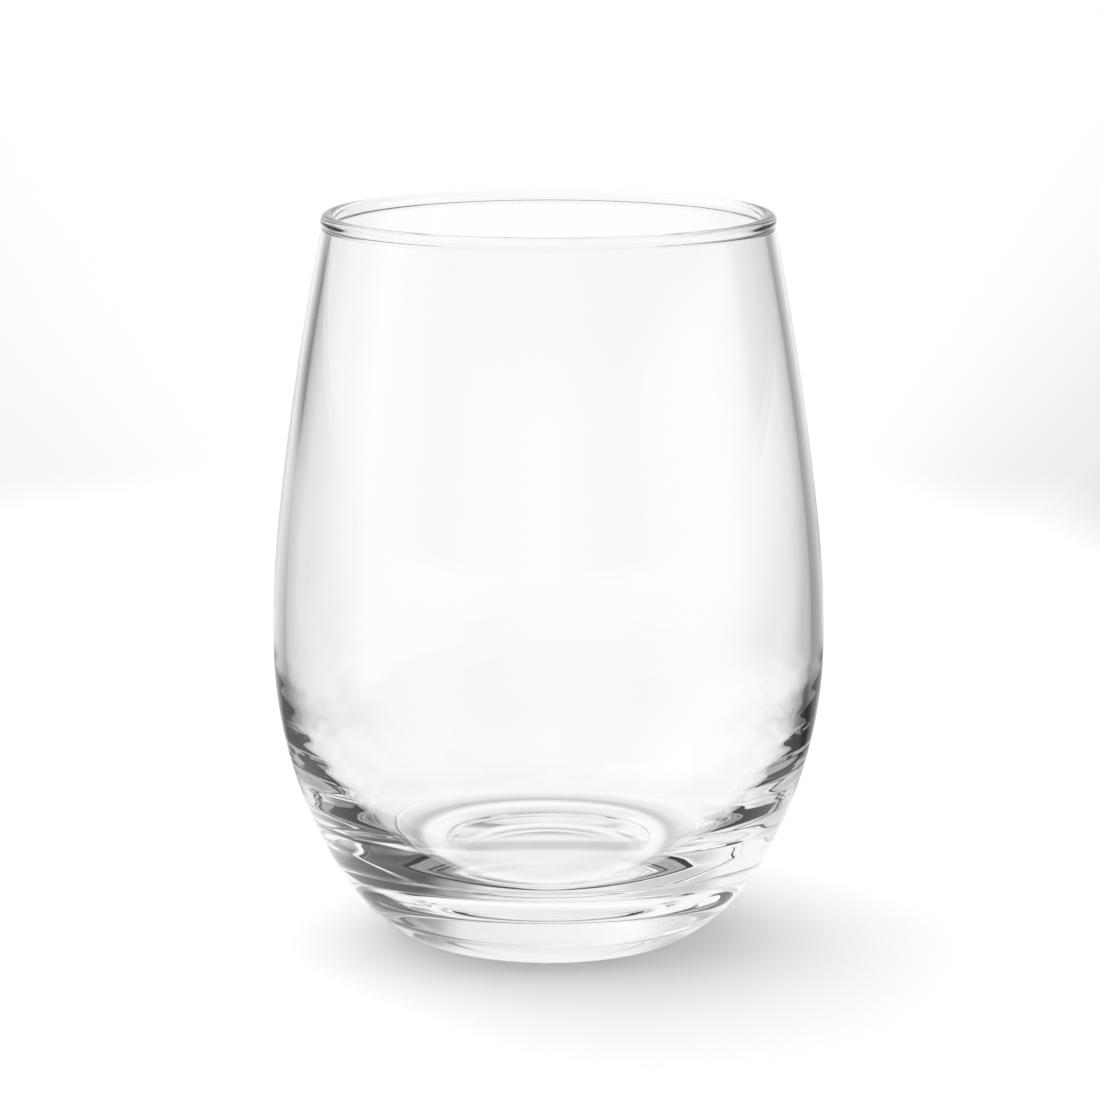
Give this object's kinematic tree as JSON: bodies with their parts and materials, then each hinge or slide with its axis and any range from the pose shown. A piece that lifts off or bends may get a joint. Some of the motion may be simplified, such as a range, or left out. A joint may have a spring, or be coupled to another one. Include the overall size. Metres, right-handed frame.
{
  "type": "stemless wine glass",
  "caption": "Egg-shaped stemless drinking glass with a thick clear base, a narrowing mouth and a rounded fire-polished rim.",
  "frame": {"origin": "centre of the ring that the glass stands on, at the level of the table", "axes": "+Z is the axis of symmetry and points up out of the mouth; X and Y are level and interchangeable"},
  "size_m": [0.09, 0.09, 0.118],
  "materials": {
    "clear_glass": "clear, fire-polished"
  },
  "bodies": {
    "root": {"glass_body": "clear_glass"}
  },
  "joints": []
}
